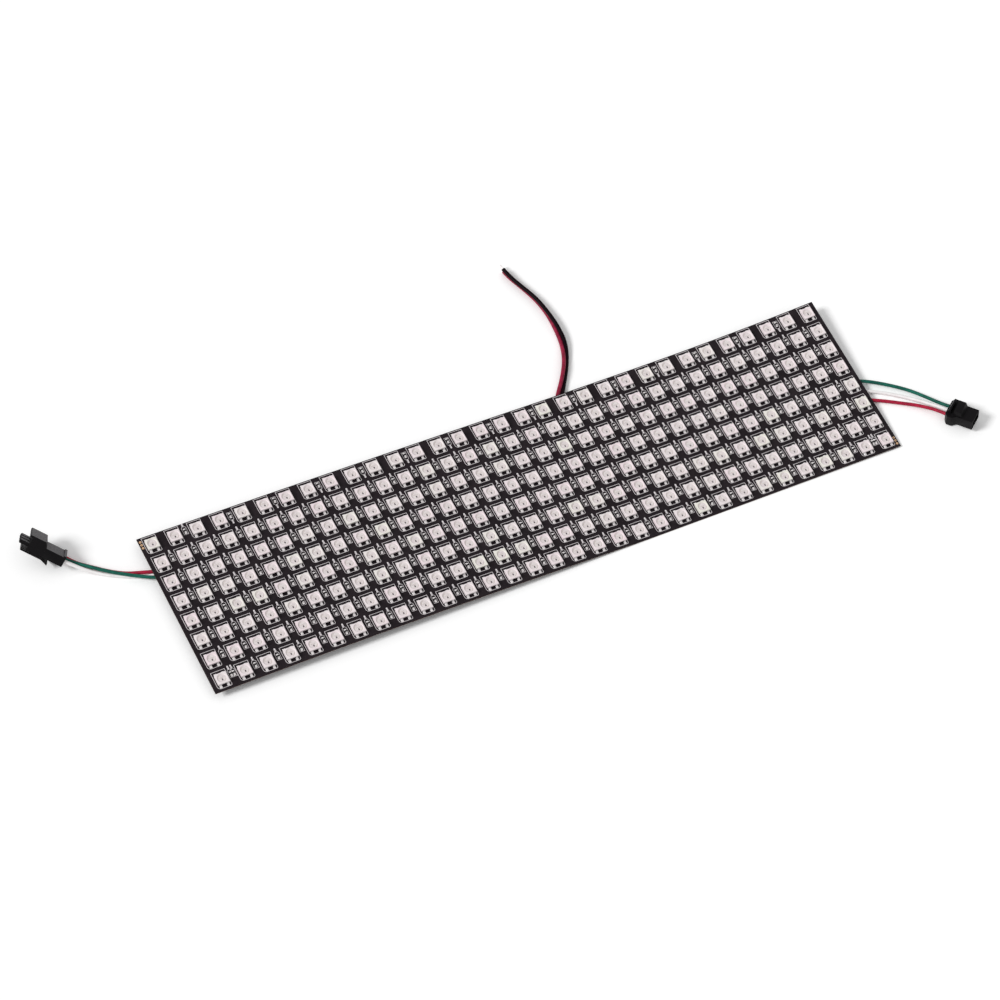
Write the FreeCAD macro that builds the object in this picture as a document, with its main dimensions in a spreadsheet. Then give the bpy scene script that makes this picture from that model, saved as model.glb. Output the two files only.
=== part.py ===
import FreeCAD, Part
import Sketcher
import math
import os
import re

# Flexible panel of addressable RGB lamps, 8 rows by 32 columns, lying on a table as it comes out
# of its bag: gently waved, its far edge riding on the power leads. Millimetres, +Z up, +X along the
# rows, +Y to the far edge. The origin is on the table under the middle of the sheet.
App = FreeCAD
V = App.Vector
doc = App.newDocument("led_matrix_panel")

SIZES = {
    # flexible circuit
    "sheet_thickness": 0.3,
    "lamp_pitch": 10.0,
    "lamp_rows": 8,
    "lamp_columns": 32,
    # waves: radii of the tangent bends along the near and the far edge, and where they meet
    "near_crest_radius": 2950.0,
    "near_dip_radius": 575.0,
    "near_tail_radius": 8000.0,
    "far_crest_radius": 9000.0,
    "far_dip_radius": 1450.0,
    "far_tail_radius": 1150.0,
    "crest_length": 180.0,
    "dip_length": 26.0,
    "flat_length": 19.0,
    # lamp package and capacitor
    "lamp_side": 5.0,
    "lamp_height": 1.6,
    "window_radius": 2.0,
    "window_dish": 0.3,
    "solder_film": 0.05,
    "capacitor_length": 1.6,
    "capacitor_width": 0.8,
    "capacitor_height": 0.7,
    "capacitor_setback": 1.05,
    "capacitor_pair_gap": 0.5,
    # plated holes at two corners
    "eyelet_diameter": 1.1,
    "eyelet_height": 0.06,
    "eyelet_spacing": 1.55,
    "eyelet_edge_distance": 0.95,
    "input_eyelet_offset": 3.1,
    "output_eyelet_offset": -0.2,
    # wires
    "signal_diameter": 1.5,
    "lead_diameter": 1.8,
    "lead_clearance": 0.25,
    "conductor_share": 0.55,
    "joint_length": 3.0,
    "joint_gap": 0.06,
    "strip_length": 2.6,
    "pad_inset": 8.0,
    "lead_in_length": 5.5,
    # three-way wire-to-wire connector, both halves
    "way_pitch": 2.5,
    "way_count": 3,
    "cell_width": 2.6,
    "wire_cell_diameter": 1.8,
    "wire_cell_depth": 1.6,
    "edge_chamfer": 0.3,
    "seat_clearance": 0.02,
    # plug: rear box, taller block, tubes, and the latch lever under them
    "plug_rear_length": 8.8,
    "plug_rear_depth": 4.4,
    "plug_rim_length": 1.1,
    "plug_rim_height": 0.5,
    "plug_block_length": 7.0,
    "plug_block_rise": 2.5,
    "plug_shelf_length": 1.4,
    "plug_shelf_thickness": 1.0,
    "tube_width": 1.7,
    "tube_height": 1.7,
    "tube_length": 4.2,
    "sleeve_outer_diameter": 1.1,
    "sleeve_inner_diameter": 0.7,
    "sleeve_length": 3.8,
    "lever_width": 5.2,
    "lever_thickness": 0.75,
    "lever_gap": 0.9,
    "lever_hook_height": 1.5,
    "lever_hook_reach": 2.4,
    "lever_tail_length": 3.4,
    "lever_tail_drop": 1.2,
    "lever_root_length": 3.2,
    "lever_root_place": 10.2,
    # receptacle: wide grip at the wires, hood with the pins, ramp and stop on its top
    "grip_length": 3.6,
    "grip_ear": 1.5,
    "grip_drop": 0.4,
    "grip_chamfer": 1.3,
    "hood_length": 9.0,
    "hood_wall": 0.45,
    "hood_clearance": 0.1,
    "hood_headroom": 2.0,
    "hood_floor": 2.0,
    "ramp_length": 4.0,
    "ramp_height": 2.5,
    "ramp_setback": 5.0,
    "stop_setback": 0.8,
    "stop_length": 1.4,
    "stop_height": 2.5,
    "ridge_inset": 0.5,
    "pin_diameter": 0.6,
    "pin_length": 6.2,
    "pin_seat_depth": 1.2,
    # where the two halves lie on the table, at the middle of the wire side
    "plug_x": -190.4,
    "plug_y": 42.7,
    "plug_heading": 139.5,
    "plug_pitch": 22.0,
    "receptacle_x": 187.9,
    "receptacle_y": -32.7,
    "receptacle_heading": -54.0,
    "receptacle_pitch": 8.0,
}

# Sizes that follow from the others
DERIVED = {
    "sheet_length": "=lamp_columns * lamp_pitch",
    "sheet_width": "=lamp_rows * lamp_pitch",
    "window_corner": "=window_radius * (sqrt(2) - 1)",
    "far_edge_lift": "=lead_diameter + lead_clearance",
    "crest_end": "=crest_length",
    "dip_end": "=crest_length + dip_length",
    "flat_end": "=crest_length + dip_length + flat_length",
    "row_width": "=(way_count - 1) * way_pitch + cell_width",
    "tube_bore": "=sleeve_outer_diameter + 2 * seat_clearance",
    "pin_bore": "=pin_diameter + 2 * seat_clearance",
    "tube_row_width": "=(way_count - 1) * way_pitch + tube_width",
    "plug_body_length": "=plug_rear_length + plug_block_length",
    "plug_length": "=plug_rear_length + plug_block_length + tube_length",
    "plug_block_top": "=plug_rear_depth / 2 + plug_block_rise",
    "lever_top": "=-plug_rear_depth / 2 - lever_gap",
    "lever_bottom": "=-plug_rear_depth / 2 - lever_gap - lever_thickness",
    "hood_inner_width": "=tube_row_width + 2 * hood_clearance",
    "hood_inner_height": "=tube_height + 2 * hood_clearance + hood_headroom",
    "hood_width": "=hood_inner_width + 2 * hood_wall",
    "hood_height": "=hood_inner_height + 2 * hood_wall",
    "hood_depth": "=hood_length - hood_floor",
    "receptacle_length": "=grip_length + hood_length",
}

sheet = doc.addObject("Spreadsheet::Sheet", "Sizes")
for line, (name, value) in enumerate(list(SIZES.items()) + list(DERIVED.items()), start=1):
    sheet.set("A%d" % line, name)
    sheet.set("B%d" % line, str(value))
    sheet.setAlias("B%d" % line, name)
doc.recompute()


def size(name):
    return float(sheet.get(name))


def bind(obj, prop, formula):
    """Tie a property to a formula written with the spreadsheet's aliases."""
    obj.setExpression(prop, formula)


def value_of(formula):
    return float(sheet.evalExpression(formula))


# Shape of the waved sheet: each long edge is a chain of tangent bends at one height, in an XZ plane


def bend(start_angle, curvature, length):
    """Run and rise of an arc that starts at an angle, and the angle at its end."""
    end_angle = start_angle + curvature * length
    run = (math.sin(end_angle) - math.sin(start_angle)) / curvature
    rise = (math.cos(start_angle) - math.cos(end_angle)) / curvature
    return run, rise, end_angle


class Edge:
    """Long edge of the sheet's underside, measured by the distance along the sheet from its left end."""

    def __init__(self, side, y, lift):
        self.y = y
        self.lift = lift
        self.dip = 1.0 / size(side + "_dip_radius")
        self.crest = 1.0 / size(side + "_crest_radius")
        self.tail = 1.0 / size(side + "_tail_radius")
        self.half = size("sheet_length") / 2

    def at(self, along):
        """Point of the underside and slope of the edge at a distance along it."""
        dip_end = size("dip_end")
        flat_end = size("flat_end")
        if along > flat_end:
            run, rise, angle = bend(0.0, self.tail, along - flat_end)
            return V(flat_end - self.half + run, self.y, self.lift + rise), angle
        if along >= dip_end:
            return V(along - self.half, self.y, self.lift), 0.0
        back = dip_end - along
        dip_part = min(back, size("dip_length"))
        run, rise, angle = bend(0.0, self.dip, dip_part)
        if back > dip_part:
            more_run, more_rise, angle = bend(angle, -self.crest, back - dip_part)
            run += more_run
            rise += more_rise
        return V(dip_end - self.half - run, self.y, self.lift + rise), -angle

    def raised(self, along, height):
        point, angle = self.at(along)
        return point + V(-math.sin(angle), 0, math.cos(angle)) * height

    def chain(self, height):
        """Edges of the profile at a height over the underside, from the left end to the right end."""
        stops = [0.0, size("crest_end"), size("dip_end"), size("flat_end"), size("sheet_length")]
        pieces = []
        for start, end in zip(stops, stops[1:]):
            first = self.raised(start, height)
            last = self.raised(end, height)
            if start == size("dip_end"):
                pieces.append(Part.LineSegment(first, last).toShape())
            else:
                middle = self.raised((start + end) / 2, height)
                pieces.append(Part.Arc(first, middle, last).toShape())
        return pieces

    def section(self, thickness):
        under = self.chain(0.0)
        upper = self.chain(thickness)
        left = Part.LineSegment(self.raised(0.0, 0.0), self.raised(0.0, thickness)).toShape()
        end = size("sheet_length")
        right = Part.LineSegment(self.raised(end, 0.0), self.raised(end, thickness)).toShape()
        return Part.Wire(under + [right] + upper[::-1] + [left])


HALF_WIDTH = size("sheet_width") / 2
near_edge = Edge("near", -HALF_WIDTH, 0.0)
far_edge = Edge("far", HALF_WIDTH, size("far_edge_lift"))


def seat(along, y, height):
    """Placement on the waved sheet: X along the rows, Y across them, Z out of the sheet."""
    share = (y + HALF_WIDTH) / (2 * HALF_WIDTH)
    near_point, near_angle = near_edge.at(along)
    far_point, far_angle = far_edge.at(along)
    point = near_point * (1 - share) + far_point * share
    near_slope = V(math.cos(near_angle), 0, math.sin(near_angle))
    far_slope = V(math.cos(far_angle), 0, math.sin(far_angle))
    along_axis = near_slope * (1 - share) + far_slope * share
    across_axis = far_point - near_point
    out_axis = along_axis.cross(across_axis).normalize()
    turn = App.Rotation(along_axis, across_axis, out_axis, "ZXY")
    return App.Placement(point + out_axis * height, turn)


def set_shape(name, shape, placement=None):
    """Feature with a shape of its own, for the forms that no ready feature makes."""
    feature = doc.addObject("Part::Feature", name)
    feature.Shape = shape
    if placement is not None:
        feature.Placement = placement
    return feature


nodes = []


def node(obj, label):
    obj.Label = label
    nodes.append(obj)
    return obj


# Flexible circuit: the two long edges' sections, ruled across


def build_sheet():
    sections = [edge.section(size("sheet_thickness")) for edge in (near_edge, far_edge)]
    return Part.makeLoft(sections, True, True)


node(set_shape("flex_board", build_sheet()), "flex_board")

# Sketch helpers for the moulded pieces: X is the mating direction, Y the row of ways, Z the depth


def origin_plane(body, role):
    for feature in body.Origin.OriginFeatures:
        if feature.Role == role:
            return feature
    raise ValueError(role)


def new_sketch(body, name, role, offset="0"):
    sketch = body.newObject("Sketcher::SketchObject", name)
    sketch.AttachmentSupport = (origin_plane(body, role), [""])
    sketch.MapMode = "FlatFace"
    if offset != "0":
        bind(sketch, "AttachmentOffset.Base.z", offset)
    return sketch


def named(formula):
    """A formula with the spreadsheet's name put before each alias."""
    return re.sub("[a-z]+(_[a-z]+)+", "Sizes.\\g<0>", formula)


def tie(sketch, constraint, formula):
    index = sketch.addConstraint(constraint)
    sketch.setExpression("Constraints[%d]" % index, named(formula))


def outline(sketch, points):
    """Closed outline through corners given as pairs of formulas, each corner tied to the sheet."""
    corners = [V(value_of(named(x)), value_of(named(y)), 0) for x, y in points]
    first = sketch.GeometryCount
    count = len(points)
    for i in range(count):
        sketch.addGeometry(Part.LineSegment(corners[i], corners[(i + 1) % count]), False)
    for i in range(count):
        line = first + i
        following = first + (i + 1) % count
        sketch.addConstraint(Sketcher.Constraint("Coincident", line, 2, following, 1))
    for i, (x, y) in enumerate(points):
        line = first + i
        tie(sketch, Sketcher.Constraint("DistanceX", -1, 1, line, 1, corners[i].x), x)
        tie(sketch, Sketcher.Constraint("DistanceY", -1, 1, line, 1, corners[i].y), y)


def rectangle(sketch, x_low, x_high, y_low, y_high):
    outline(sketch, [(x_low, y_low), (x_high, y_low), (x_high, y_high), (x_low, y_high)])


def round_hole(sketch, x, y, diameter):
    centre = V(value_of(named(x)), value_of(named(y)), 0)
    radius = value_of(named(diameter)) / 2
    index = sketch.addGeometry(Part.Circle(centre, V(0, 0, 1), radius), False)
    tie(sketch, Sketcher.Constraint("Diameter", index, 2 * radius), diameter)
    tie(sketch, Sketcher.Constraint("DistanceX", -1, 1, index, 3, centre.x), x)
    tie(sketch, Sketcher.Constraint("DistanceY", -1, 1, index, 3, centre.y), y)


def pad(body, sketch, name, length, midplane=False):
    feature = body.newObject("PartDesign::Pad", name)
    feature.Profile = sketch
    feature.Midplane = midplane
    bind(feature, "Length", named(length))
    body.Tip = feature
    doc.recompute()
    return feature


def pocket(body, sketch, name, length, inwards):
    """Pocket of a given depth, with its volume compared so that it is known to cut."""
    before = body.Shape.Volume
    feature = body.newObject("PartDesign::Pocket", name)
    feature.Profile = sketch
    feature.Reversed = inwards
    bind(feature, "Length", named(length))
    body.Tip = feature
    doc.recompute()
    if feature.Shape.Volume >= before:
        raise RuntimeError(name + " cuts nothing")
    return feature


def block(body, name, offset, length, width, depth):
    """Block centred on the mating axis, from an offset along it."""
    sketch = new_sketch(body, name + "_outline", "YZ_Plane", named(offset))
    half_width = "(%s) / 2" % width
    half_depth = "(%s) / 2" % depth
    rectangle(sketch, "-" + half_width, half_width, "-" + half_depth, half_depth)
    return pad(body, sketch, name, length)


def way_position(way):
    """Place of a way across the connector, as a formula."""
    return "(%d - (way_count - 1) / 2) * way_pitch" % way


def chamfer_at(body, name, wanted, edge_size):
    """Chamfer on the edges of the body that a test picks by their middle points."""
    base = body.Tip
    picked = []
    for i, edge in enumerate(base.Shape.Edges, start=1):
        middle = edge.valueAt((edge.FirstParameter + edge.LastParameter) / 2)
        if wanted(middle, edge):
            picked.append("Edge%d" % i)
    feature = body.newObject("PartDesign::Chamfer", name)
    feature.Base = (base, picked)
    bind(feature, "Size", named(edge_size))
    body.Tip = feature
    doc.recompute()
    return feature


# Lamp package: a white moulded square with a shallow window, eight-sided for the real round one


def build_lamp():
    body = doc.addObject("PartDesign::Body", "lamp_package")
    base = new_sketch(body, "lamp_outline", "XY_Plane")
    half = "lamp_side / 2"
    rectangle(base, "-" + half, half, "-" + half, half)
    pad(body, base, "lamp_housing", "lamp_height")
    window = new_sketch(body, "window_outline", "XY_Plane")
    bind(window, "AttachmentOffset.Base.z", "Sizes.lamp_height")
    low_left = [("-window_radius", "-window_corner"), ("-window_corner", "-window_radius")]
    low_right = [("window_corner", "-window_radius"), ("window_radius", "-window_corner")]
    high_right = [("window_radius", "window_corner"), ("window_corner", "window_radius")]
    high_left = [("-window_corner", "window_radius"), ("-window_radius", "window_corner")]
    outline(window, low_left + low_right + high_right + high_left)
    pocket(body, window, "window", "window_dish", False)
    return body


def column_place(column):
    """Distance along the sheet of a column of lamps, counted from the left."""
    return size("sheet_length") / 2 + (column - (size("lamp_columns") - 1) / 2) * size("lamp_pitch")


def row_place(row):
    """Place across the sheet of a row of lamps, counted from the far edge."""
    return ((size("lamp_rows") - 1) / 2 - row) * size("lamp_pitch")


ROWS = int(size("lamp_rows"))
COLUMNS = int(size("lamp_columns"))
WAYS = int(size("way_count"))
SURFACE = size("sheet_thickness") + size("solder_film")

lamp = build_lamp()
for row in range(ROWS):
    lamps = []
    for column in range(COLUMNS):
        copy = lamp.Shape.copy()
        copy.Placement = seat(column_place(column), row_place(row), SURFACE)
        lamps.append(copy)
    name = "led_row_%d" % (row + 1)
    node(set_shape(name, Part.makeCompound(lamps)), name)

# Capacitors: one in the gap beside each lamp, fewer on the first row, doubled at the last row's ends


def capacitor_places(row):
    """Gap number and offset across it for each capacitor of a row."""
    last_row = ROWS - 1
    last_gap = COLUMNS - 2
    pair = (size("capacitor_width") + size("capacitor_pair_gap")) / 2
    places = []
    for gap in range(COLUMNS - 1):
        if row == 0:
            if gap % 2 == 1:
                places.append((gap, 0.0))
        elif row == last_row and gap in (0, last_gap):
            places += [(gap, -pair), (gap, pair)]
        else:
            places.append((gap, 0.0))
    return places


capacitor = doc.addObject("Part::Box", "capacitor_chip")
bind(capacitor, "Length", "Sizes.capacitor_width")
bind(capacitor, "Width", "Sizes.capacitor_length")
bind(capacitor, "Height", "Sizes.capacitor_height")
doc.recompute()
chip_centre = App.Placement(V(-size("capacitor_width") / 2, -size("capacitor_length") / 2, 0), App.Rotation())
for row in range(ROWS):
    chips = []
    for gap, aside in capacitor_places(row):
        along = column_place(gap) + size("lamp_pitch") / 2 + aside
        across = row_place(row) + size("capacitor_setback")
        copy = capacitor.Shape.copy()
        copy.Placement = seat(along, across, SURFACE).multiply(chip_centre)
        chips.append(copy)
    name = "capacitor_row_%d" % (row + 1)
    node(set_shape(name, Part.makeCompound(chips)), name)

# Plated eyelets at the input corner and at the output corner


def eyelets(name, along, first_y, step):
    """Three short discs in a line across the sheet, on its lamp side."""
    discs = []
    for i in range(WAYS):
        disc = doc.addObject("Part::Cylinder", "%s_disc_%d" % (name, i + 1))
        bind(disc, "Radius", "Sizes.eyelet_diameter / 2")
        bind(disc, "Height", "Sizes.eyelet_height")
        disc.Placement = seat(along, first_y + i * step, size("sheet_thickness") + size("seat_clearance"))
        discs.append(disc)
    group = doc.addObject("Part::Compound", name)
    group.Links = discs
    return node(group, name)


EDGE_DISTANCE = size("eyelet_edge_distance")
first_eyelet = row_place(0) + size("input_eyelet_offset")
eyelets("input_eyelets", EDGE_DISTANCE, first_eyelet, -size("eyelet_spacing"))
last_eyelet = row_place(ROWS - 1) + size("output_eyelet_offset")
eyelets("output_eyelets", size("sheet_length") - EDGE_DISTANCE, last_eyelet, -size("eyelet_spacing"))

# Plug: rear block with wire cells, block with three tubes, latch lever on one side and lip on the other


def wire_cells(body):
    sketch = new_sketch(body, "wire_cell_outline", "YZ_Plane")
    for way in range(WAYS):
        round_hole(sketch, way_position(way), "0", "wire_cell_diameter")
    return pocket(body, sketch, "wire_cells", "wire_cell_depth", True)


def build_plug():
    body = doc.addObject("PartDesign::Body", "plug_housing")
    block(body, "rear", "0", "plug_rear_length + edge_chamfer", "row_width", "plug_rear_depth")
    rim = new_sketch(body, "rim_profile", "XZ_Plane")
    rectangle(rim, "0", "plug_rim_length", "plug_rear_depth / 2 - edge_chamfer",
              "plug_rear_depth / 2 + plug_rim_height")
    pad(body, rim, "rim", "row_width", midplane=True)
    # block with a shelf over the tubes, one profile across the row
    top = "plug_block_top"
    low = "-plug_rear_depth / 2"
    back = "plug_rear_length"
    front = "plug_body_length"
    profile = new_sketch(body, "block_profile", "XZ_Plane")
    outline(profile, [
        (back, low), (front, low), (front, top + " - plug_shelf_thickness"),
        (front + " + plug_shelf_length", top + " - plug_shelf_thickness"),
        (front + " + plug_shelf_length", top + " - edge_chamfer"),
        (front + " + plug_shelf_length - edge_chamfer", top),
        (back + " + plug_block_rise / 2", top), (back, "plug_rear_depth / 2"),
    ])
    pad(body, profile, "block", "row_width + edge_chamfer", midplane=True)
    tubes = new_sketch(body, "tube_outline", "YZ_Plane", named("plug_body_length"))
    for way in range(WAYS):
        place = way_position(way)
        rectangle(tubes, place + " - tube_width / 2", place + " + tube_width / 2",
                  "-tube_height / 2", "tube_height / 2")
    pad(body, tubes, "tubes", "tube_length")
    tip = size("plug_length")
    chamfer_at(body, "tube_tips", lambda middle, edge: abs(middle.x - tip) < 0.01, "edge_chamfer")
    # latch lever: hook in front, root under the block, tail turned out for the thumb
    root = "lever_root_place"
    nose = front + " + lever_hook_reach"
    lever = new_sketch(body, "lever_profile", "XZ_Plane")
    outline(lever, [
        (root, "lever_top"), (root, low + " + edge_chamfer"),
        (root + " + lever_root_length", low + " + edge_chamfer"), (root + " + lever_root_length", "lever_top"),
        (nose + " - lever_thickness", "lever_top"),
        (nose + " - lever_thickness", "lever_top + lever_hook_height - lever_thickness"),
        (nose + " - lever_thickness / 2", "lever_top + lever_hook_height - lever_thickness"),
        (nose, "lever_top"), (nose + " - lever_thickness / 2", "lever_bottom"),
        (back + " - edge_chamfer", "lever_bottom"),
        (back + " - lever_tail_length", "lever_bottom - lever_tail_drop"),
        (back + " - lever_tail_length", "lever_top - lever_tail_drop"),
        (back + " - edge_chamfer", "lever_top"),
    ])
    pad(body, lever, "lever", "lever_width", midplane=True)
    wire_cells(body)
    bores = new_sketch(body, "tube_bore_outline", "YZ_Plane", named("plug_length"))
    for way in range(WAYS):
        round_hole(bores, way_position(way), "0", "tube_bore")
    pocket(body, bores, "tube_bores", "sleeve_length + edge_chamfer", False)
    return body


def build_receptacle():
    body = doc.addObject("PartDesign::Body", "receptacle_housing")
    # grip: eared in plan, deeper than the hood on the table side
    half = "hood_width / 2"
    ear = "hood_width / 2 + grip_ear"
    plan = new_sketch(body, "grip_plan", "XY_Plane", named("-hood_height / 2 - grip_drop"))
    outline(plan, [
        ("0", "-row_width / 2"), ("grip_chamfer", "-" + ear.replace(" + ", " - ")),
        ("grip_length", "-" + ear.replace(" + ", " - ")), ("grip_length + grip_ear", "-" + half),
        ("grip_length + grip_ear", half), ("grip_length", ear), ("grip_chamfer", ear), ("0", "row_width / 2"),
    ])
    pad(body, plan, "grip", "hood_height + grip_drop")
    bottom = "-hood_height / 2 - grip_drop"
    sole = new_sketch(body, "grip_sole_profile", "XZ_Plane")
    outline(sole, [
        ("-edge_chamfer", bottom + " - edge_chamfer"), ("grip_drop", bottom + " - edge_chamfer"),
        ("-edge_chamfer", bottom + " + grip_chamfer"),
    ])
    slope = body.newObject("PartDesign::Pocket", "grip_slope")
    slope.Profile = sole
    slope.Midplane = True
    slope.Type = "ThroughAll"
    body.Tip = slope
    doc.recompute()
    block(body, "hood", "grip_length", "hood_length", "hood_width", "hood_height")
    top = "hood_height / 2"
    front = "receptacle_length - ramp_setback"
    ramp = new_sketch(body, "ramp_profile", "XZ_Plane")
    outline(ramp, [
        (front + " - ramp_length", top + " - edge_chamfer"), (front, top + " - edge_chamfer"), (front, top),
        (front + " - ramp_length / 4", top + " + ramp_height"),
        (front + " - ramp_length", top + " + ramp_height"),
    ])
    pad(body, ramp, "ramp", "hood_width - 2 * ridge_inset", midplane=True)
    stop = new_sketch(body, "stop_profile", "XZ_Plane")
    outline(stop, [
        ("stop_setback", top + " - edge_chamfer"), ("stop_setback + stop_length", top + " - edge_chamfer"),
        ("stop_setback + stop_length", top + " + stop_height"),
        ("stop_setback + stop_length / 2", top + " + stop_height"),
        ("stop_setback", top + " + stop_height / 2"),
    ])
    pad(body, stop, "stop", "hood_width - 2 * ridge_inset", midplane=True)
    mouth = new_sketch(body, "mouth_outline", "YZ_Plane", named("receptacle_length"))
    rectangle(mouth, "-hood_inner_width / 2", "hood_inner_width / 2",
              "-hood_inner_height / 2", "hood_inner_height / 2")
    pocket(body, mouth, "mouth", "hood_depth", False)
    seats = new_sketch(body, "pin_seat_outline", "YZ_Plane", named("grip_length + hood_floor"))
    for way in range(WAYS):
        round_hole(seats, way_position(way), "0", "pin_bore")
    pocket(body, seats, "pin_seats", "pin_seat_depth", False)
    wire_cells(body)
    return body


def laid_down(body, name, roll):
    """Placement on the table: heading in plan, nose raised by the wires, roll about the mating axis."""
    turn = App.Rotation(V(0, 0, 1), size(name + "_heading"))
    turn = turn.multiply(App.Rotation(V(0, 1, 0), -size(name + "_pitch")))
    turn = turn.multiply(App.Rotation(V(1, 0, 0), roll))
    shape = body.Shape.copy()
    shape.Placement = App.Placement(V(size(name + "_x"), size(name + "_y"), 0), turn)
    lowest = shape.optimalBoundingBox(False).ZMin
    return App.Placement(V(size(name + "_x"), size(name + "_y"), -lowest), turn)


plug = build_plug()
# The plug lies on a long edge of its block and on its narrower lever
plug_roll = math.degrees(math.atan2((size("row_width") - size("lever_width")) / 2,
                                    size("lever_gap") + size("lever_thickness")))
plug_place = laid_down(plug, "plug", plug_roll)
plug.Placement = plug_place
node(plug, "plug_housing")

receptacle = build_receptacle()
receptacle_place = laid_down(receptacle, "receptacle", 0.0)
receptacle.Placement = receptacle_place
node(receptacle, "receptacle_housing")
print("plug roll %.1f, heights %.2f and %.2f" % (plug_roll, plug_place.Base.z, receptacle_place.Base.z))


def turned_to_x(x):
    """Placement of a round piece made along Z, laid along the mating axis at a distance on it."""
    return App.Placement(V(x, 0, 0), App.Rotation(V(0, 1, 0), 90))


for way in range(WAYS):
    aside = App.Placement(V(0, value_of(named(way_position(way))), 0), App.Rotation())
    # socket sleeve: rolled brass tube in the plug's bore
    outer = doc.addObject("Part::Cylinder", "sleeve_outer_%d" % (way + 1))
    bind(outer, "Radius", "Sizes.sleeve_outer_diameter / 2")
    inner = doc.addObject("Part::Cylinder", "sleeve_inner_%d" % (way + 1))
    bind(inner, "Radius", "Sizes.sleeve_inner_diameter / 2")
    for tube in (outer, inner):
        bind(tube, "Height", "Sizes.sleeve_length")
    sleeve = doc.addObject("Part::Cut", "plug_contact_%d" % (way + 1))
    sleeve.Base = outer
    sleeve.Tool = inner
    bore_bottom = size("plug_length") - size("sleeve_length") - size("edge_chamfer")
    sleeve.Placement = plug_place.multiply(aside).multiply(turned_to_x(bore_bottom))
    node(sleeve, "plug_contact_%d" % (way + 1))
    # pin: round, with a tapered nose
    shank = doc.addObject("Part::Cylinder", "pin_shank_%d" % (way + 1))
    bind(shank, "Radius", "Sizes.pin_diameter / 2")
    bind(shank, "Height", "Sizes.pin_length - Sizes.pin_diameter")
    nose = doc.addObject("Part::Cone", "pin_nose_%d" % (way + 1))
    bind(nose, "Radius1", "Sizes.pin_diameter / 2")
    bind(nose, "Radius2", "Sizes.pin_diameter / 4")
    bind(nose, "Height", "Sizes.pin_diameter")
    bind(nose, "Placement.Base.z", "Sizes.pin_length - Sizes.pin_diameter")
    pin = doc.addObject("Part::Fuse", "receptacle_pin_%d" % (way + 1))
    pin.Base = shank
    pin.Tool = nose
    seat_bottom = size("grip_length") + size("hood_floor") - size("pin_seat_depth")
    pin.Placement = receptacle_place.multiply(aside).multiply(turned_to_x(seat_bottom))
    node(pin, "receptacle_pin_%d" % (way + 1))

# Wires: straight runs joined by tangent arcs


def arc_radius(before, corner, after):
    """Radius of the arc at a corner, and how far from the corner it starts."""
    shorter = min((corner - before).Length, (after - corner).Length)
    turn = (corner - before).getAngle(after - corner)
    reach = 0.45 * shorter
    return reach / math.tan(turn / 2), reach


def route(points):
    """Wire of runs and tangent arcs through a list of points, and the arcs' radii."""
    edges = []
    radii = []
    start = points[0]
    for before, corner, after in zip(points, points[1:], points[2:]):
        radius, reach = arc_radius(before, corner, after)
        inward = (before - corner).normalize()
        outward = (after - corner).normalize()
        first = corner + inward * reach
        last = corner + outward * reach
        half_turn = (-inward).getAngle(outward) / 2
        to_middle = (inward + outward).normalize()
        middle = corner + to_middle * (radius / math.cos(half_turn) - radius)
        edges.append(Part.LineSegment(start, first).toShape())
        edges.append(Part.Arc(first, middle, last).toShape())
        radii.append(radius)
        start = last
    edges.append(Part.LineSegment(start, points[-1]).toShape())
    return Part.Wire(edges), radii


def wire_tube(name, points, diameter):
    """Insulated wire swept along its route."""
    path, radii = route(points)
    spine = set_shape(name + "_route", path)
    circle = doc.addObject("Part::Circle", name + "_section")
    bind(circle, "Radius", "Sizes.%s / 2" % diameter)
    direction = points[1] - points[0]
    circle.Placement = App.Placement(points[0], App.Rotation(V(0, 0, 1), direction))
    tube = doc.addObject("Part::Sweep", name)
    tube.Sections = [circle]
    tube.Spine = (spine, ["Edge%d" % (i + 1) for i in range(len(path.Edges))])
    tube.Solid = True
    tube.Frenet = False
    doc.recompute()
    section = math.pi * (size(diameter) / 2) ** 2
    print("%s: length %.1f, least radius %.1f, volume over section x length %.4f, radii %s"
          % (name, path.Length, min(radii), tube.Shape.Volume / (section * path.Length),
             " ".join("%.1f" % radius for radius in radii)))
    print("   points", [tuple(round(c, 2) for c in point) for point in points])
    return node(tube, name)


def cell_end(place, way, out):
    """Point on a connector's wire side: the bottom of a wire cell, or that far out of it."""
    local = V(size("wire_cell_depth") - out, value_of(named(way_position(way))), 0)
    return place.multVec(local)


def pad_end(along, y, diameter, back):
    """Centre of a wire that lies along the rows under the sheet, its top just below the underside."""
    drop = size(diameter) / 2 + size("joint_gap")
    return seat(along + back, y, -drop).Base


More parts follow.
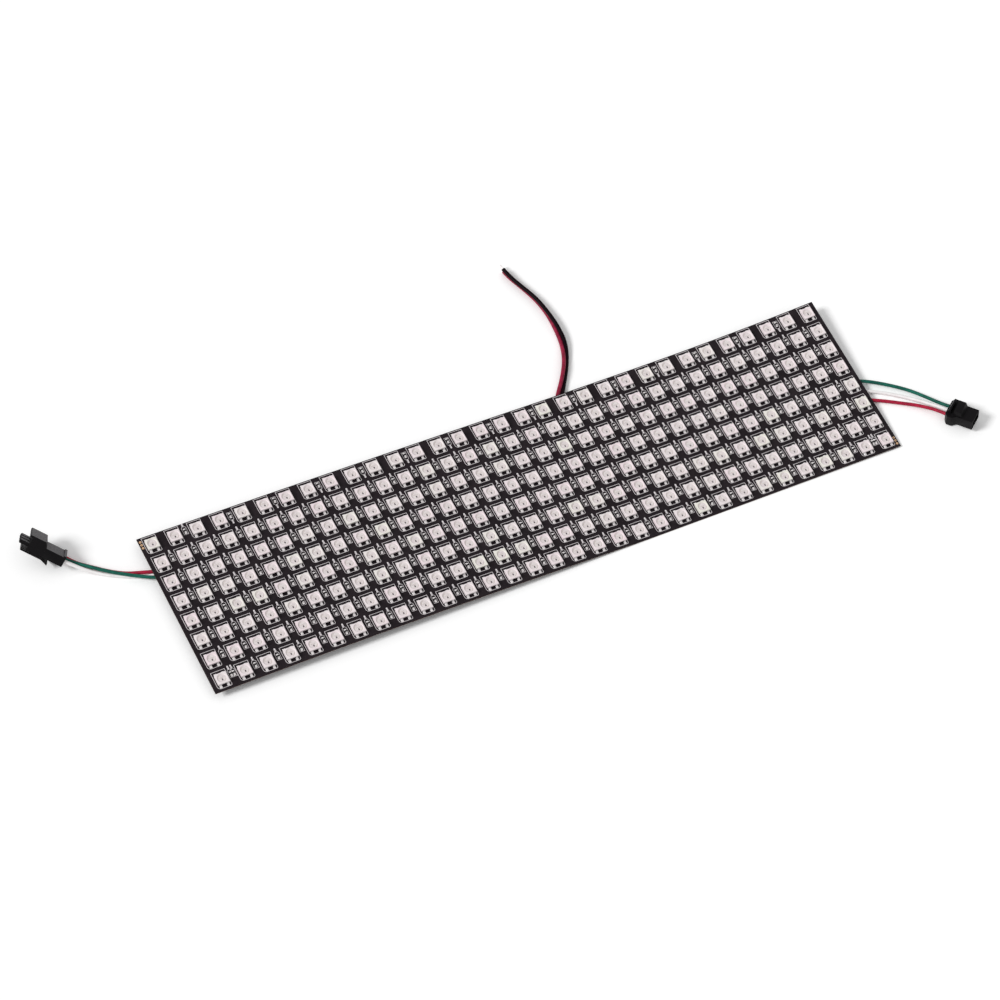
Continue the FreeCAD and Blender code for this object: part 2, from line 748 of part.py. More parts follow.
# Routes of the six signal wires, from the solder joint under the sheet to the connector
INPUT_PAD = size("pad_inset")
OUTPUT_PAD = size("sheet_length") - size("pad_inset")
LEAD_IN = size("lead_in_length")
ROUTES = [
    ("input_wire_green", "input", 1, 19.4, [V(-163.9, 22.7, 2.2), V(-170.3, 26.1, 2.4), V(-176.3, 30.1, 2.4),
                                            V(-182.4, 35.3, 2.3)]),
    ("input_wire_red", "input", 0, 23.0, [V(-163.8, 25.2, 2.0), V(-169.4, 28.5, 0.85), V(-175.9, 30.9, 0.8),
                                          V(-181.9, 35.6, 0.8)]),
    ("input_wire_white", "input", 2, 21.2, [V(-163.6, 24.0, 0.8), V(-170.2, 26.5, 0.8), V(-177.1, 29.3, 0.8),
                                            V(-183.2, 33.4, 1.5)]),
    ("output_wire_green", "output", 2, -2.3, [V(163.6, -4.5, 1.8), V(170.9, -9.4, 1.3), V(177.8, -15.8, 1.3),
                                              V(183.4, -22.3, 1.7)]),
    ("output_wire_white", "output", 1, -8.3, [V(164.2, -10.6, 0.9), V(170.6, -14.8, 0.8), V(177.0, -20.3, 1.2),
                                              V(180.2, -24.0, 2.0)]),
    ("output_wire_red", "output", 0, -13.6, [V(164.6, -16.6, 0.85), V(171.2, -20.9, 0.8), V(177.4, -25.4, 1.5)]),
]

joints = {"input": [], "output": [], "power": []}


def solder_joint(group, wire_name, start, direction, diameter):
    """Tinned end of a wire, six-sided under its solder, laid along the pad."""
    tip = doc.addObject("Part::Prism", wire_name + "_joint")
    tip.Polygon = 6
    bind(tip, "Circumradius", "Sizes.%s / 2 * Sizes.conductor_share" % diameter)
    bind(tip, "Height", "Sizes.joint_length")
    tip.Placement = App.Placement(start, App.Rotation(V(0, 0, 1), direction))
    joints[group].append(tip)


for name, group, way, y, middle in ROUTES:
    place = plug_place if group == "input" else receptacle_place
    inward = -1 if group == "output" else 1
    pad_place = INPUT_PAD if group == "input" else OUTPUT_PAD
    start = pad_end(pad_place, y, "signal_diameter", 0)
    edge_point = pad_end(pad_place, y, "signal_diameter", -LEAD_IN * inward)
    points = [start, edge_point] + middle + [cell_end(place, way, LEAD_IN), cell_end(place, way, 0)]
    solder_joint(group, name, start, start - edge_point, "signal_diameter")
    wire_tube(name, points, "signal_diameter")

# Power leads: side by side from under the far edge, the black one climbing onto the red one
LEADS = [
    ("power_lead_red", [V(30.9, 34.6, 0.9), V(34.6, 39.2, 0.9), V(41.0, 47.2, 2.2), V(46.1, 55.3, 2.4),
                        V(49.2, 64.4, 1.2), V(50.4, 73.7, 0.9), V(50.6, 83.2, 0.9), V(49.3, 91.9, 0.9),
                        V(46.7, 100.6, 0.9), V(44.9, 106.6, 0.9), V(44.1, 110.2, 0.9)]),
    ("power_lead_black", [V(32.6, 33.3, 0.9), V(36.4, 38.0, 0.9), V(42.7, 46.9, 0.9), V(47.7, 55.2, 0.9),
                          V(51.8, 64.1, 1.3), V(51.9, 73.3, 2.7), V(50.3, 82.4, 2.7), V(48.9, 91.0, 2.7),
                          V(46.2, 99.6, 2.7), V(44.5, 105.8, 2.7), V(43.7, 110.2, 2.7)]),
]

for name, points in LEADS:
    solder_joint("power", name, points[0], points[0] - points[1], "lead_diameter")
    wire_tube(name, points, "lead_diameter")
    end = doc.addObject("Part::Cylinder", name + "_strands")
    bind(end, "Radius", "Sizes.lead_diameter / 2 * Sizes.conductor_share")
    bind(end, "Height", "Sizes.strip_length")
    end.Placement = App.Placement(points[-1], App.Rotation(V(0, 0, 1), points[-1] - points[-2]))
    node(end, name.replace("power_lead", "stripped_end"))

for group, tips in joints.items():
    joint = doc.addObject("Part::Compound", group + "_solder_joints")
    joint.Links = tips
    node(joint, group + "_solder_joints")

# Check everything, then write one file for each node
doc.recompute()
for obj in doc.Objects:
    if "Invalid" in obj.State or "Error" in obj.State:
        raise RuntimeError("%s failed: %s" % (obj.Name, obj.State))
os.makedirs("parts", exist_ok=True)
for obj in nodes:
    shape = obj.Shape
    if shape.isNull() or not shape.isValid():
        raise RuntimeError(obj.Label + " has no valid shape")
    shape.exportStep("parts/%s.step" % obj.Label)
print("%d nodes written" % len(nodes))
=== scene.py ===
# %% [markdown]
# # A flexible panel of RGB lamps
# The object is a soft printed circuit with 8 rows of 32 square lamps. Three thin wires end in a
# plug at the left, three more in a receptacle at the right, and two bare leads bring the power in
# from the far side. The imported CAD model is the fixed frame: every piece below takes its place
# from it or from the same few sizes.

# %% Load the frame
import math
import bmesh
import bpy
from mathutils import Matrix, Vector


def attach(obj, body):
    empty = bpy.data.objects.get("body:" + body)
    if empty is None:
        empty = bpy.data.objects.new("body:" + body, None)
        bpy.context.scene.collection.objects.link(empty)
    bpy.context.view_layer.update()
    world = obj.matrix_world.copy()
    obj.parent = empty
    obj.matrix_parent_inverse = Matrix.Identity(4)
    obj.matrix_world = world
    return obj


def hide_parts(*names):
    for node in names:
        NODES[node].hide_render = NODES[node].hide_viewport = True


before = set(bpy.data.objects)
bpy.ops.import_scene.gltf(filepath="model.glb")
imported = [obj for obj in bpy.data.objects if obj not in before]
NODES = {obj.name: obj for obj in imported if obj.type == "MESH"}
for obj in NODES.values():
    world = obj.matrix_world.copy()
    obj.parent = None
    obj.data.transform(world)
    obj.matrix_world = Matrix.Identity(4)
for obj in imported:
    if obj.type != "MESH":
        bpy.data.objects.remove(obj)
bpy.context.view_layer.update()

MM = 0.001

# %% [markdown]
# ## Camera
# The camera is set by where it looks, how far off it stands and three angles. The lens is long, so
# the far corner of the panel is hardly smaller than the near one. A shift of a thousandth of the
# picture takes up what the angles leave.

# %% Camera
LOOK_AT = Vector((-11.654, 1.557, 0.0)) * MM
EYE_DISTANCE = 1411.555 * MM
AZIMUTH, ELEVATION, ROLL = -34.335, 54.664, 9.457
LENS, SENSOR = 121.6, 36.0
SHIFT_X, SHIFT_Y = -0.0008, 0.0009
NEAREST, FARTHEST = 0.01, 20.0

turn = (Matrix.Rotation(math.radians(AZIMUTH), 4, "Z")
        @ Matrix.Rotation(math.radians(90 - ELEVATION), 4, "X")
        @ Matrix.Rotation(math.radians(ROLL), 4, "Z"))
camera_data = bpy.data.cameras.new("camera")
camera_data.lens = LENS
camera_data.sensor_width = SENSOR
camera_data.shift_x = SHIFT_X
camera_data.shift_y = SHIFT_Y
camera_data.clip_start = NEAREST
camera_data.clip_end = FARTHEST
camera = bpy.data.objects.new("camera", camera_data)
bpy.context.scene.collection.objects.link(camera)
camera.matrix_world = Matrix.Translation(LOOK_AT + turn.to_3x3() @ Vector((0, 0, EYE_DISTANCE))) @ turn
bpy.context.scene.camera = camera
print("camera at", [round(c / MM) for c in camera.matrix_world.translation], "mm")

# %% [markdown]
# ## Wires
# A free wire is a smooth line of a fixed length. A NURBS curve of order 3 through listed control
# points bends as softly as the wire does, and a round bevel gives it its thickness. The points begin
# as those of the CAD route, and many are set up to 1.7 mm aside, to follow the photo. Each point
# carries the wire's own radius, because Blender counts a point's radius into the curve's box: with a
# radius of one it would be a metre too large.

# %% Routes and diameters of the wires, in millimetres
SIGNAL_DIAMETER = 1.5
LEAD_DIAMETER = 1.8
LINE_STEPS, ROUND_STEPS = 16, 6
ROUTES = {
    "input_wire_green": [
        (-151.97, 19.4, 2.82), (-157.38, 19.61, 2.79), (-163.72, 23.11, 2.2), (-169.97, 26.89, 2.4),
        (-175.93, 30.97, 2.4), (-182.04, 36.16, 2.3), (-187.48, 40.76, 2.26), (-191.53, 43.66, 4.32)],
    "input_wire_red": [
        (-151.98, 23.0, 2.83), (-157.48, 23.0, 2.81), (-163.7, 25.6, 2.0), (-169.35, 28.2, 0.85),
        (-175.3, 31.9, 0.8), (-181.44, 37.04, 0.8), (-186.95, 41.65, 0.85), (-190.63, 45.56, 2.96)],
    "input_wire_white": [
        (-151.98, 21.2, 2.83), (-157.48, 21.2, 2.8), (-163.6, 24.0, 0.8), (-170.2, 27.0, 0.8),
        (-177.1, 30.7, 0.8), (-183.2, 34.9, 1.5), (-188.54, 39.0, 3.62), (-192.42, 41.77, 5.68)],
    "output_wire_green": [
        (151.99, -2.25, 1.96), (157.3, -2.58, 2.19), (163.41, -4.83, 1.8), (170.83, -9.51, 1.3),
        (177.98, -15.5, 1.3), (183.33, -22.42, 1.7), (187.43, -28.49, 2.19), (190.85, -32.51, 2.96)],
    "output_wire_white": [
        (152.0, -8.25, 1.59), (157.49, -8.25, 1.8), (164.2, -10.6, 0.9), (170.6, -14.8, 0.8),
        (177.0, -20.3, 1.2), (180.2, -24.0, 2.0), (185.63, -29.58, 2.19), (188.83, -33.98, 2.96)],
    "output_wire_red": [
        (152.0, -13.55, 1.27), (157.8, -13.01, 1.45), (164.87, -16.14, 0.85), (171.62, -20.19, 0.8),
        (177.83, -24.67, 1.5), (183.97, -30.45, 2.19), (186.81, -35.45, 2.96)],
    "power_lead_red": [
        (30.9, 34.6, 0.9), (34.0, 39.45, 0.9), (40.59, 47.37, 2.2), (45.83, 55.41, 2.4),
        (49.38, 64.33, 1.0), (50.82, 73.53, 0.9), (51.2, 82.86, 0.9), (49.9, 91.56, 0.9),
        (47.0, 100.41, 0.9), (44.66, 106.7, 0.9), (44.1, 110.2, 0.9)],
    "power_lead_black": [
        (32.6, 33.3, 0.9), (35.67, 38.3, 0.9), (41.98, 47.2, 0.9), (47.33, 55.35, 0.9),
        (51.2, 64.47, 1.7), (51.6, 73.45, 2.7), (51.08, 82.08, 2.7), (49.78, 90.64, 2.7),
        (46.5, 99.5, 2.7), (44.4, 105.9, 2.7), (43.7, 110.2, 2.7)],
}

# %% [markdown]
# Each wire takes the place of the plain tube that the CAD has for it, and it rides on the part as
# that tube does. The slot names its plastic and its colour.

# %% Draw the wires


def diameter_of(name):
    """Diameter over the jacket, in millimetres."""
    return LEAD_DIAMETER if name.startswith("power") else SIGNAL_DIAMETER


def soft_line(name, points, diameter):
    """Open NURBS curve with these control points, in millimetres, and a round section."""
    curve = bpy.data.curves.new(name + "_line", "CURVE")
    curve.dimensions = "3D"
    curve.resolution_u = LINE_STEPS
    curve.bevel_depth = 1.0
    curve.bevel_resolution = ROUND_STEPS
    curve.use_fill_caps = True
    spline = curve.splines.new("NURBS")
    spline.points.add(len(points) - 1)
    for control, point in zip(spline.points, points):
        control.co = (point[0] * MM, point[1] * MM, point[2] * MM, 1.0)
        control.radius = diameter / 2 * MM
    spline.order_u = 3
    spline.use_endpoint_u = True
    obj = bpy.data.objects.new(name + "_skin", curve)
    bpy.context.scene.collection.objects.link(obj)
    return obj


WIRES = {}
for name, points in ROUTES.items():
    WIRES[name] = soft_line(name, points, diameter_of(name))
    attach(WIRES[name], "root")
    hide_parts(name)
print("wires:", len(WIRES))

# %% [markdown]
# ## Helpers for materials
# Colours are written as sRGB hex values, as a paint chart gives them, and one function turns them
# to the linear values that the renderer wants. One more function adds a node with its settings and
# links, and each material is a short list of such nodes.

# %% Colour and node helpers
DARK_STOP, BASE_STOP, LIGHT_STOP = 0.3, 0.5, 0.7


def colour(hex_value):
    """Linear RGBA of an sRGB hex value, by the curve that the sRGB standard gives."""
    channels = [int(hex_value[i:i + 2], 16) / 255 for i in (1, 3, 5)]
    linear = [c / 12.92 if c <= 0.04045 else ((c + 0.055) / 1.055) ** 2.4 for c in channels]
    return (*linear, 1.0)


def add(tree, kind, inputs=None, **settings):
    """Add a node, set its properties, and set or link its inputs."""
    node = tree.nodes.new(kind)
    for key, value in settings.items():
        setattr(node, key, value)
    for key, value in (inputs or {}).items():
        if isinstance(value, bpy.types.NodeSocket):
            tree.links.new(value, node.inputs[key])
        else:
            node.inputs[key].default_value = value
    return node


def start_material(name):
    """Empty material and its node tree."""
    material = bpy.data.materials.new(name)
    material.use_nodes = True
    material.node_tree.nodes.clear()
    return material, material.node_tree


def finish_material(material, shader):
    """Link the last shader to the surface and hand the material back."""
    tree = material.node_tree
    output = tree.nodes.new("ShaderNodeOutputMaterial")
    tree.links.new(shader.outputs[0], output.inputs["Surface"])
    return material


def per_mm(size):
    """Texture scale at which one pattern cell is this many millimetres wide."""
    return 1.0 / (size * MM)


def speckled(name, base, dark, light, grain, roughness, bump, depth=0.02, **fixed):
    """Colour that wanders between two tones, over a noise with its grain and depth in mm."""
    material, tree = start_material(name)
    place = add(tree, "ShaderNodeTexCoord")
    noise = add(tree, "ShaderNodeTexNoise",
                {"Vector": place.outputs["Object"], "Scale": per_mm(grain),
                 "Detail": 4.0, "Roughness": 0.55})
    ramp = add(tree, "ShaderNodeValToRGB", {"Fac": noise.outputs["Fac"]})
    ramp.color_ramp.elements[0].position = DARK_STOP
    ramp.color_ramp.elements[0].color = colour(dark)
    ramp.color_ramp.elements[1].position = LIGHT_STOP
    ramp.color_ramp.elements[1].color = colour(light)
    middle = ramp.color_ramp.elements.new(BASE_STOP)
    middle.color = colour(base)
    rough = add(tree, "ShaderNodeMapRange",
                {"Value": noise.outputs["Fac"], "To Min": roughness[0], "To Max": roughness[1]})
    relief = add(tree, "ShaderNodeBump",
                 {"Height": noise.outputs["Fac"], "Strength": bump, "Distance": depth * MM})
    shader = add(tree, "ShaderNodeBsdfPrincipled",
                 {"Base Color": ramp.outputs["Color"], "Roughness": rough.outputs["Result"],
                  "Normal": relief.outputs["Normal"], **fixed})
    return finish_material(material, shader)


print("a mid grey in linear:", round(colour("#808080")[0], 4))

# %% [markdown]
# ## Materials
# Solder mask is a thin lacquer over copper and film. Here it is black and satin: it mirrors little,
# and two noises, one finer than a millimetre and one a little wider than a lamp, keep it from being
# one flat tone. Bump stands for the copper tracks that lift it a little.

# %% Solder mask with the copper showing through it
FINE_GRAIN, BROAD_GRAIN = 0.9, 7.0


def solder_mask():
    """Polyimide film under near-black solder mask: satin, with a faint relief of the copper."""
    material, tree = start_material("solder mask on polyimide film")
    place = add(tree, "ShaderNodeTexCoord")
    fine = add(tree, "ShaderNodeTexNoise",
               {"Vector": place.outputs["Object"], "Scale": per_mm(FINE_GRAIN),
                "Detail": 5.0, "Roughness": 0.6})
    broad = add(tree, "ShaderNodeTexNoise",
                {"Vector": place.outputs["Object"], "Scale": per_mm(BROAD_GRAIN), "Detail": 2.0})
    tone = add(tree, "ShaderNodeMix",
               {"Factor": 0.5, "A": fine.outputs["Fac"], "B": broad.outputs["Fac"]})
    ramp = add(tree, "ShaderNodeValToRGB", {"Fac": tone.outputs["Result"]})
    ramp.color_ramp.elements[0].position = 0.35
    ramp.color_ramp.elements[0].color = colour("#1B1519")
    ramp.color_ramp.elements[1].position = 0.65
    ramp.color_ramp.elements[1].color = colour("#282125")
    relief = add(tree, "ShaderNodeBump",
                 {"Height": fine.outputs["Fac"], "Strength": 0.25, "Distance": 0.03 * MM})
    shader = add(tree, "ShaderNodeBsdfPrincipled",
                 {"Base Color": ramp.outputs["Color"], "Normal": relief.outputs["Normal"],
                  "Roughness": 0.5, "IOR": 1.52, "Specular IOR Level": 0.12})
    return finish_material(material, shader)


MASK = solder_mask()
print("material:", MASK.name)

# %% [markdown]
# A lamp package is moulded from a white filled plastic. In the photo some lamps look a little pink
# and some a little yellow, so the white is drawn by chance for each lamp: the place divided by the
# lamp pitch and rounded down is one whole number for each lamp, and a white noise turns it into a
# tone.

# %% White of the lamp packages
LAMP_PITCH = 10.0
MOULD_GRAIN = 0.25


def lamp_white():
    """White filled plastic: matt, and never quite the same white twice."""
    material, tree = start_material("white moulded lamp package")
    place = add(tree, "ShaderNodeTexCoord")
    cell = add(tree, "ShaderNodeVectorMath",
               {0: place.outputs["Object"], 1: (LAMP_PITCH * MM, LAMP_PITCH * MM, 1.0)},
               operation="DIVIDE")
    whole = add(tree, "ShaderNodeVectorMath", {0: cell.outputs["Vector"]}, operation="FLOOR")
    draw = add(tree, "ShaderNodeTexWhiteNoise", {"Vector": whole.outputs["Vector"]},
               noise_dimensions="3D")
    ramp = add(tree, "ShaderNodeValToRGB", {"Fac": draw.outputs["Value"]})
    ramp.color_ramp.elements[0].color = colour("#F0E1E5")
    ramp.color_ramp.elements[1].color = colour("#EEEBE2")
    middle = ramp.color_ramp.elements.new(0.7)
    middle.color = colour("#EFE6E7")
    grain = add(tree, "ShaderNodeTexNoise",
                {"Vector": place.outputs["Object"], "Scale": per_mm(MOULD_GRAIN), "Detail": 3.0})
    relief = add(tree, "ShaderNodeBump",
                 {"Height": grain.outputs["Fac"], "Strength": 0.2, "Distance": 0.01 * MM})
    shader = add(tree, "ShaderNodeBsdfPrincipled",
                 {"Base Color": ramp.outputs["Color"], "Normal": relief.outputs["Normal"],
                  "Roughness": 0.45, "IOR": 1.53})
    return finish_material(material, shader)


LAMP_WHITE = lamp_white()
print("material:", LAMP_WHITE.name)

# %% [markdown]
# The other finishes of the circuit. Silicone resin is clear but milky, and it looks lit from inside.
# Reflowed tin and gold are thin skins, too rough and too small to mirror anything sharply, so they
# are only partly metallic and take their light from all sides. Screen-printed ink is matt and a
# little uneven. The fired ceramic of a capacitor is dark brown and dull.

# %% Resin, metals, ink, ceramic and film
LAMP_RESIN = speckled("milky silicone window", "#E4DBDB", "#DACFD1", "#EBE4E2",
                      0.9, (0.18, 0.28), 0.1, IOR=1.41)
LEAD_FRAME = speckled("gilded lead frame", "#CFC2B0", "#BFB09C", "#DDD2C4",
                       0.4, (0.3, 0.4), 0.1, Metallic=0.4)
DIE = speckled("silicon die under resin", "#4C4244", "#3C3436", "#5E5456", 0.3, (0.3, 0.4), 0.05)
# Painted shade: a near-black tone for the recess at each end of a lamp, where the ledge leaves the
# white wall in shade.
RECESS_PAINTED_SHADE = speckled("painted shade in the package recess", "#1A1618", "#141113", "#221D1F",
                       0.4, (0.6, 0.8), 0.1)
TIN = speckled("reflowed tin", "#F3EFEF", "#DFDADB", "#FAF8F7", 0.5, (0.3, 0.45), 0.3, Metallic=0.2)
INK = speckled("screen-printed white ink", "#E8E2E4", "#DAD4D6", "#F2EDEE", 0.35, (0.6, 0.8), 0.3)
CERAMIC = speckled("fired capacitor ceramic", "#171012", "#110B0D", "#20171A",
                   0.4, (0.5, 0.65), 0.3)
GOLD = speckled("immersion gold on copper", "#F0C69C", "#DDAA78", "#F8DDBE",
                0.4, (0.28, 0.4), 0.2, Metallic=0.3)
FILM = speckled("black film of the back", "#241E21", "#1D181B", "#2E272B",
                1.4, (0.35, 0.5), 0.3, IOR=1.52)
CUT_EDGE = speckled("cut edge of the film", "#5A3D2C", "#463024", "#6E4C38",
                    0.5, (0.5, 0.6), 0.2)
print("materials so far:", len(bpy.data.materials))

# %% [markdown]
# Connector halves are moulded nylon with a fine spark-eroded grain, and their contacts are tinned
# bronze. Wires are extruded PVC: the die leaves them smooth, and the plasticiser gives a soft, broad
# highlight. A low specular level keeps the dark ones as dark as in the photo.

# %% Nylon, bronze and PVC
NYLON = speckled("black moulded nylon", "#0E0C0E", "#0A080A", "#141214",
                 0.22, (0.38, 0.55), 0.4, **{"IOR": 1.53, "Specular IOR Level": 0.1})
CONTACT = speckled("tinned phosphor bronze", "#B8B2AC", "#A09A94", "#CCC6C0",
                   0.3, (0.25, 0.4), 0.2, Metallic=1.0)
JACKET_GRAIN, JACKET_ROUGHNESS, JACKET_BUMP = 2.5, (0.38, 0.5), 0.15
JACKET = {  # base, dark and light tone, and specular level
    "green": ("#105A4C", "#0C493F", "#186A59", 0.2),
    "red": ("#A81838", "#8C1230", "#BE2446", 0.2),
    "white": ("#F6F3F3", "#EEE9E9", "#FBF9F9", 0.2),
    "black": ("#100409", "#0A0306", "#17080E", 0.05),
    "dark red": ("#8A1836", "#70122C", "#A02446", 0.2),
}
PVC = {}
for tone, (base, dark, light, level) in JACKET.items():
    PVC[tone] = speckled("extruded %s PVC" % tone, base, dark, light,
                         JACKET_GRAIN, JACKET_ROUGHNESS, JACKET_BUMP,
                         **{"IOR": 1.54, "Specular IOR Level": level})
for name, wire in WIRES.items():
    tone = "dark red" if name == "power_lead_red" else name.split("_")[2]
    wire.data.materials.append(PVC[tone])
print("materials:", len(bpy.data.materials))

# %% [markdown]
# ## The waved sheet
# The sheet lies in long shallow bends: both of its long edges are chains of tangent arcs, flat on
# one short stretch, and straight lines join the two edges. A function that gives the point and the
# facing of the surface at any place lets every lamp, part and printed line sit on it exactly.

# %% Shape of the sheet, in millimetres
LENGTH, WIDTH, THICKNESS = 320.0, 80.0, 0.3
LEAD_CLEARANCE = 0.25
FAR_LIFT = LEAD_DIAMETER + LEAD_CLEARANCE
DIP_END, FLAT_END = 206.0, 225.0
DIP_LENGTH = 26.0
NEAR_RADII = (2950.0, 575.0, 8000.0)
FAR_RADII = (9000.0, 1450.0, 1150.0)


def edge_height(along, radii):
    """Height of one long edge over its flat stretch, at a distance along the sheet."""
    crest, dip, tail = radii
    if along > FLAT_END:
        return tail * (1 - math.cos((along - FLAT_END) / tail))
    if along >= DIP_END:
        return 0.0
    back = DIP_END - along
    in_dip = min(back, DIP_LENGTH)
    height = dip * (1 - math.cos(in_dip / dip))
    if back > DIP_LENGTH:
        start = DIP_LENGTH / dip
        angle = start - (back - DIP_LENGTH) / crest
        height += crest * (math.cos(angle) - math.cos(start))
    return height


def sheet_point(x, y, up):
    """Point at a height over the sheet's underside, and the facing there; x and y from its middle."""
    share = (y + WIDTH / 2) / WIDTH
    along = x + LENGTH / 2

    def underside(s):
        near = edge_height(s, NEAR_RADII)
        far = FAR_LIFT + edge_height(s, FAR_RADII)
        return near, far, near + (far - near) * share
    near, far, height = underside(along)
    rise_over = 1.0
    slope = (underside(along + rise_over / 2)[2] - underside(along - rise_over / 2)[2]) / rise_over
    out = Vector((-slope, -(far - near) / WIDTH, 1.0)).normalized()
    return Vector((x, y, height)) + out * up, out


def seat(x, y, up=THICKNESS, turned=False):
    """Matrix, in metres, that stands a piece drawn in millimetres on the sheet."""
    point, out = sheet_point(x, y, up)
    across = Vector((0, 1, 0))
    along = across.cross(out).normalized()
    across = out.cross(along)
    axes = Matrix((along, across, out)).transposed().to_4x4()
    if turned:
        axes = axes @ Matrix.Rotation(math.pi, 4, "Z")
    return Matrix.Translation(point * MM) @ axes @ Matrix.Scale(MM, 4)


print("left end of the near edge is", round(edge_height(0, NEAR_RADII), 2), "mm up")

# %% [markdown]
# The sheet is drawn again as a fine strip with smooth shading, because the CAD mesh has long flat
# facets that a satin surface would show. It is a closed slab with three finishes: mask on the lamp
# side, plain film on the back, and the brown of the bare film at the cut edge.

# %% The sheet as a smooth slab


def make_object(name, mesh, finishes, nodes=()):
    """Put a mesh in the scene with its materials, riding on the part."""
    obj = bpy.data.objects.new(name, mesh)
    bpy.context.scene.collection.objects.link(obj)
    for finish in finishes:
        mesh.materials.append(finish)
    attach(obj, "root")
    if nodes:
        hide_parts(*nodes)
    return obj


STEP, ACROSS = 2.5, 9
LAMP_SIDE, BACK, EDGE = 0, 1, 2
SHEET_CREASE = 30


def sheet_slab():
    """Closed slab along the waves, with a point every STEP along it and ACROSS points over it."""
    columns = int(LENGTH / STEP) + 1
    rows = ACROSS
    verts = []
    for up in (0.0, THICKNESS):
        for i in range(columns):
            for j in range(rows):
                x = -LENGTH / 2 + i * STEP
                y = -WIDTH / 2 + j * WIDTH / (rows - 1)
                verts.append(sheet_point(x, y, up)[0] * MM)
    layer = columns * rows
    faces, finish = [], []
    for i in range(columns - 1):
        for j in range(rows - 1):
            a = i * rows + j
            low = (a, a + 1, a + rows + 1, a + rows)
            faces += [low, tuple(v + layer for v in reversed(low))]
            finish += [BACK, LAMP_SIDE]
    rim = [i * rows for i in range(columns)]
    rim += [(columns - 1) * rows + j for j in range(1, rows)]
    rim += [i * rows + rows - 1 for i in range(columns - 2, -1, -1)]
    rim += [j for j in range(rows - 2, 0, -1)]
    for k, a in enumerate(rim):
        b = rim[(k + 1) % len(rim)]
        faces.append((a, b, b + layer, a + layer))
        finish.append(EDGE)
    mesh = bpy.data.meshes.new("flexible_sheet")
    mesh.from_pydata(verts, [], faces)
    mesh.polygons.foreach_set("material_index", finish)
    mesh.update()
    mesh.shade_smooth()
    mesh.set_sharp_from_angle(angle=math.radians(SHEET_CREASE))
    return mesh


sheet = make_object("flexible_sheet", sheet_slab(), [MASK, FILM, CUT_EDGE],
                    ["flex_board"])
print("sheet faces:", len(sheet.data.polygons))

# %% [markdown]
# ## Small parts, drawn once and stamped
# Hundreds of lamps and capacitors are alike, so each is drawn once in millimetres as a short list
# of corners and faces, and stamped at every place as one mesh for each row.

# %% A drawing that can be stamped
STAMP_CREASE = 35
SHARPEST_MITRE = 0.5


class Drawing:
    """Corners, faces and finish numbers of one small part, in millimetres."""

    def __init__(self):
        self.corners, self.faces, self.finish = [], [], []

    def loops(self, rings, finish, closed=True, cap=False):
        """Skin between rings of equally many corners, given from the bottom or outside inwards."""
        first = len(self.corners)
        count = len(rings[0])
        for ring in rings:
            self.corners += [Vector(corner) for corner in ring]
        for r in range(len(rings) - 1):
            for k in range(count if closed else count - 1):
                a = first + r * count + k
                b = first + r * count + (k + 1) % count
                self.faces.append((a, b, b + count, a + count))
                self.finish.append(finish)
        if cap:
            last = first + (len(rings) - 1) * count
            self.faces.append(tuple(range(last, last + count)))
            self.finish.append(finish)

    def block(self, low, high, finish, trim=0.05):
        """Box without a bottom, its top edge trimmed."""
        def ring(inset, z):
            x0, y0, x1, y1 = low[0] + inset, low[1] + inset, high[0] - inset, high[1] - inset
            return [(x0, y0, z), (x1, y0, z), (x1, y1, z), (x0, y1, z)]
        self.loops([ring(0, low[2]), ring(0, high[2] - trim), ring(trim, high[2])], finish, cap=True)

    def line(self, path, width, z, finish, closed=False):
        """Flat printed line of a given width along a path of (x, y) points."""
        points = [Vector((x, y, 0)) for x, y in path]
        count = len(points)
        left, right = [], []
        for k, point in enumerate(points):
            before = points[k - 1] if k or closed else point
            after = points[(k + 1) % count] if k < count - 1 or closed else point
            way_in = (point - before).normalized()
            way_out = (after - point).normalized()
            way = (way_in + way_out).normalized()
            side = Vector((way.y, -way.x, 0))
            unit = way_in if way_in.length else way_out
            mitre = abs(side.dot(Vector((unit.y, -unit.x, 0))))
            spread = width / 2 / max(SHARPEST_MITRE, mitre)
            left.append((point.x - side.x * spread, point.y - side.y * spread, z))
            right.append((point.x + side.x * spread, point.y + side.y * spread, z))
        self.loops([right, left], finish, closed=closed)


def stamp(name, drawing, places):
    """One mesh with the drawing at every place."""
    verts, faces, finish = [], [], []
    for place in places:
        first = len(verts)
        verts += [place @ corner for corner in drawing.corners]
        faces += [tuple(first + v for v in face) for face in drawing.faces]
        finish += drawing.finish
    mesh = bpy.data.meshes.new(name)
    mesh.from_pydata(verts, [], faces)
    mesh.polygons.foreach_set("material_index", finish)
    mesh.update()
    mesh.shade_smooth()
    mesh.set_sharp_from_angle(angle=math.radians(STAMP_CREASE))
    return mesh


print("a stamped part keeps edges sharp over", STAMP_CREASE, "degrees")

# %% [markdown]
# Round outlines are short straight steps: an arc for a printed line, a full ring for a hole or a
# window. A few steps are enough, because the largest of them is only 4 mm across.

# %% Arcs and circles


def arc_points(centre, radius, start, end, steps):
    """Points of an arc in a plane, angles in degrees."""
    points = []
    for k in range(steps + 1):
        angle = math.radians(start + (end - start) * k / steps)
        points.append((centre[0] + radius * math.cos(angle), centre[1] + radius * math.sin(angle)))
    return points


def circle(radius, z, sides):
    """Ring of corners at a height, counted from the +X side."""
    angles = [2 * math.pi * k / sides for k in range(sides)]
    return [(radius * math.cos(angle), radius * math.sin(angle), z) for angle in angles]


print("a quarter arc in three steps:", [round(x, 2) for x, y in arc_points((0, 0), 1, 0, 90, 3)])

# %% [markdown]
# ## Lamp
# A lamp of this kind is a white square cup, 5 by 5 mm. Its round window is filled with resin, under
# which lie the control chip and three tiny dies. Its leads fold out at the two ends onto tinned pads,
# under a ledge that shades them. The cup is a stack of rings with equally many corners, from a square
# at the foot to the circle of the window.

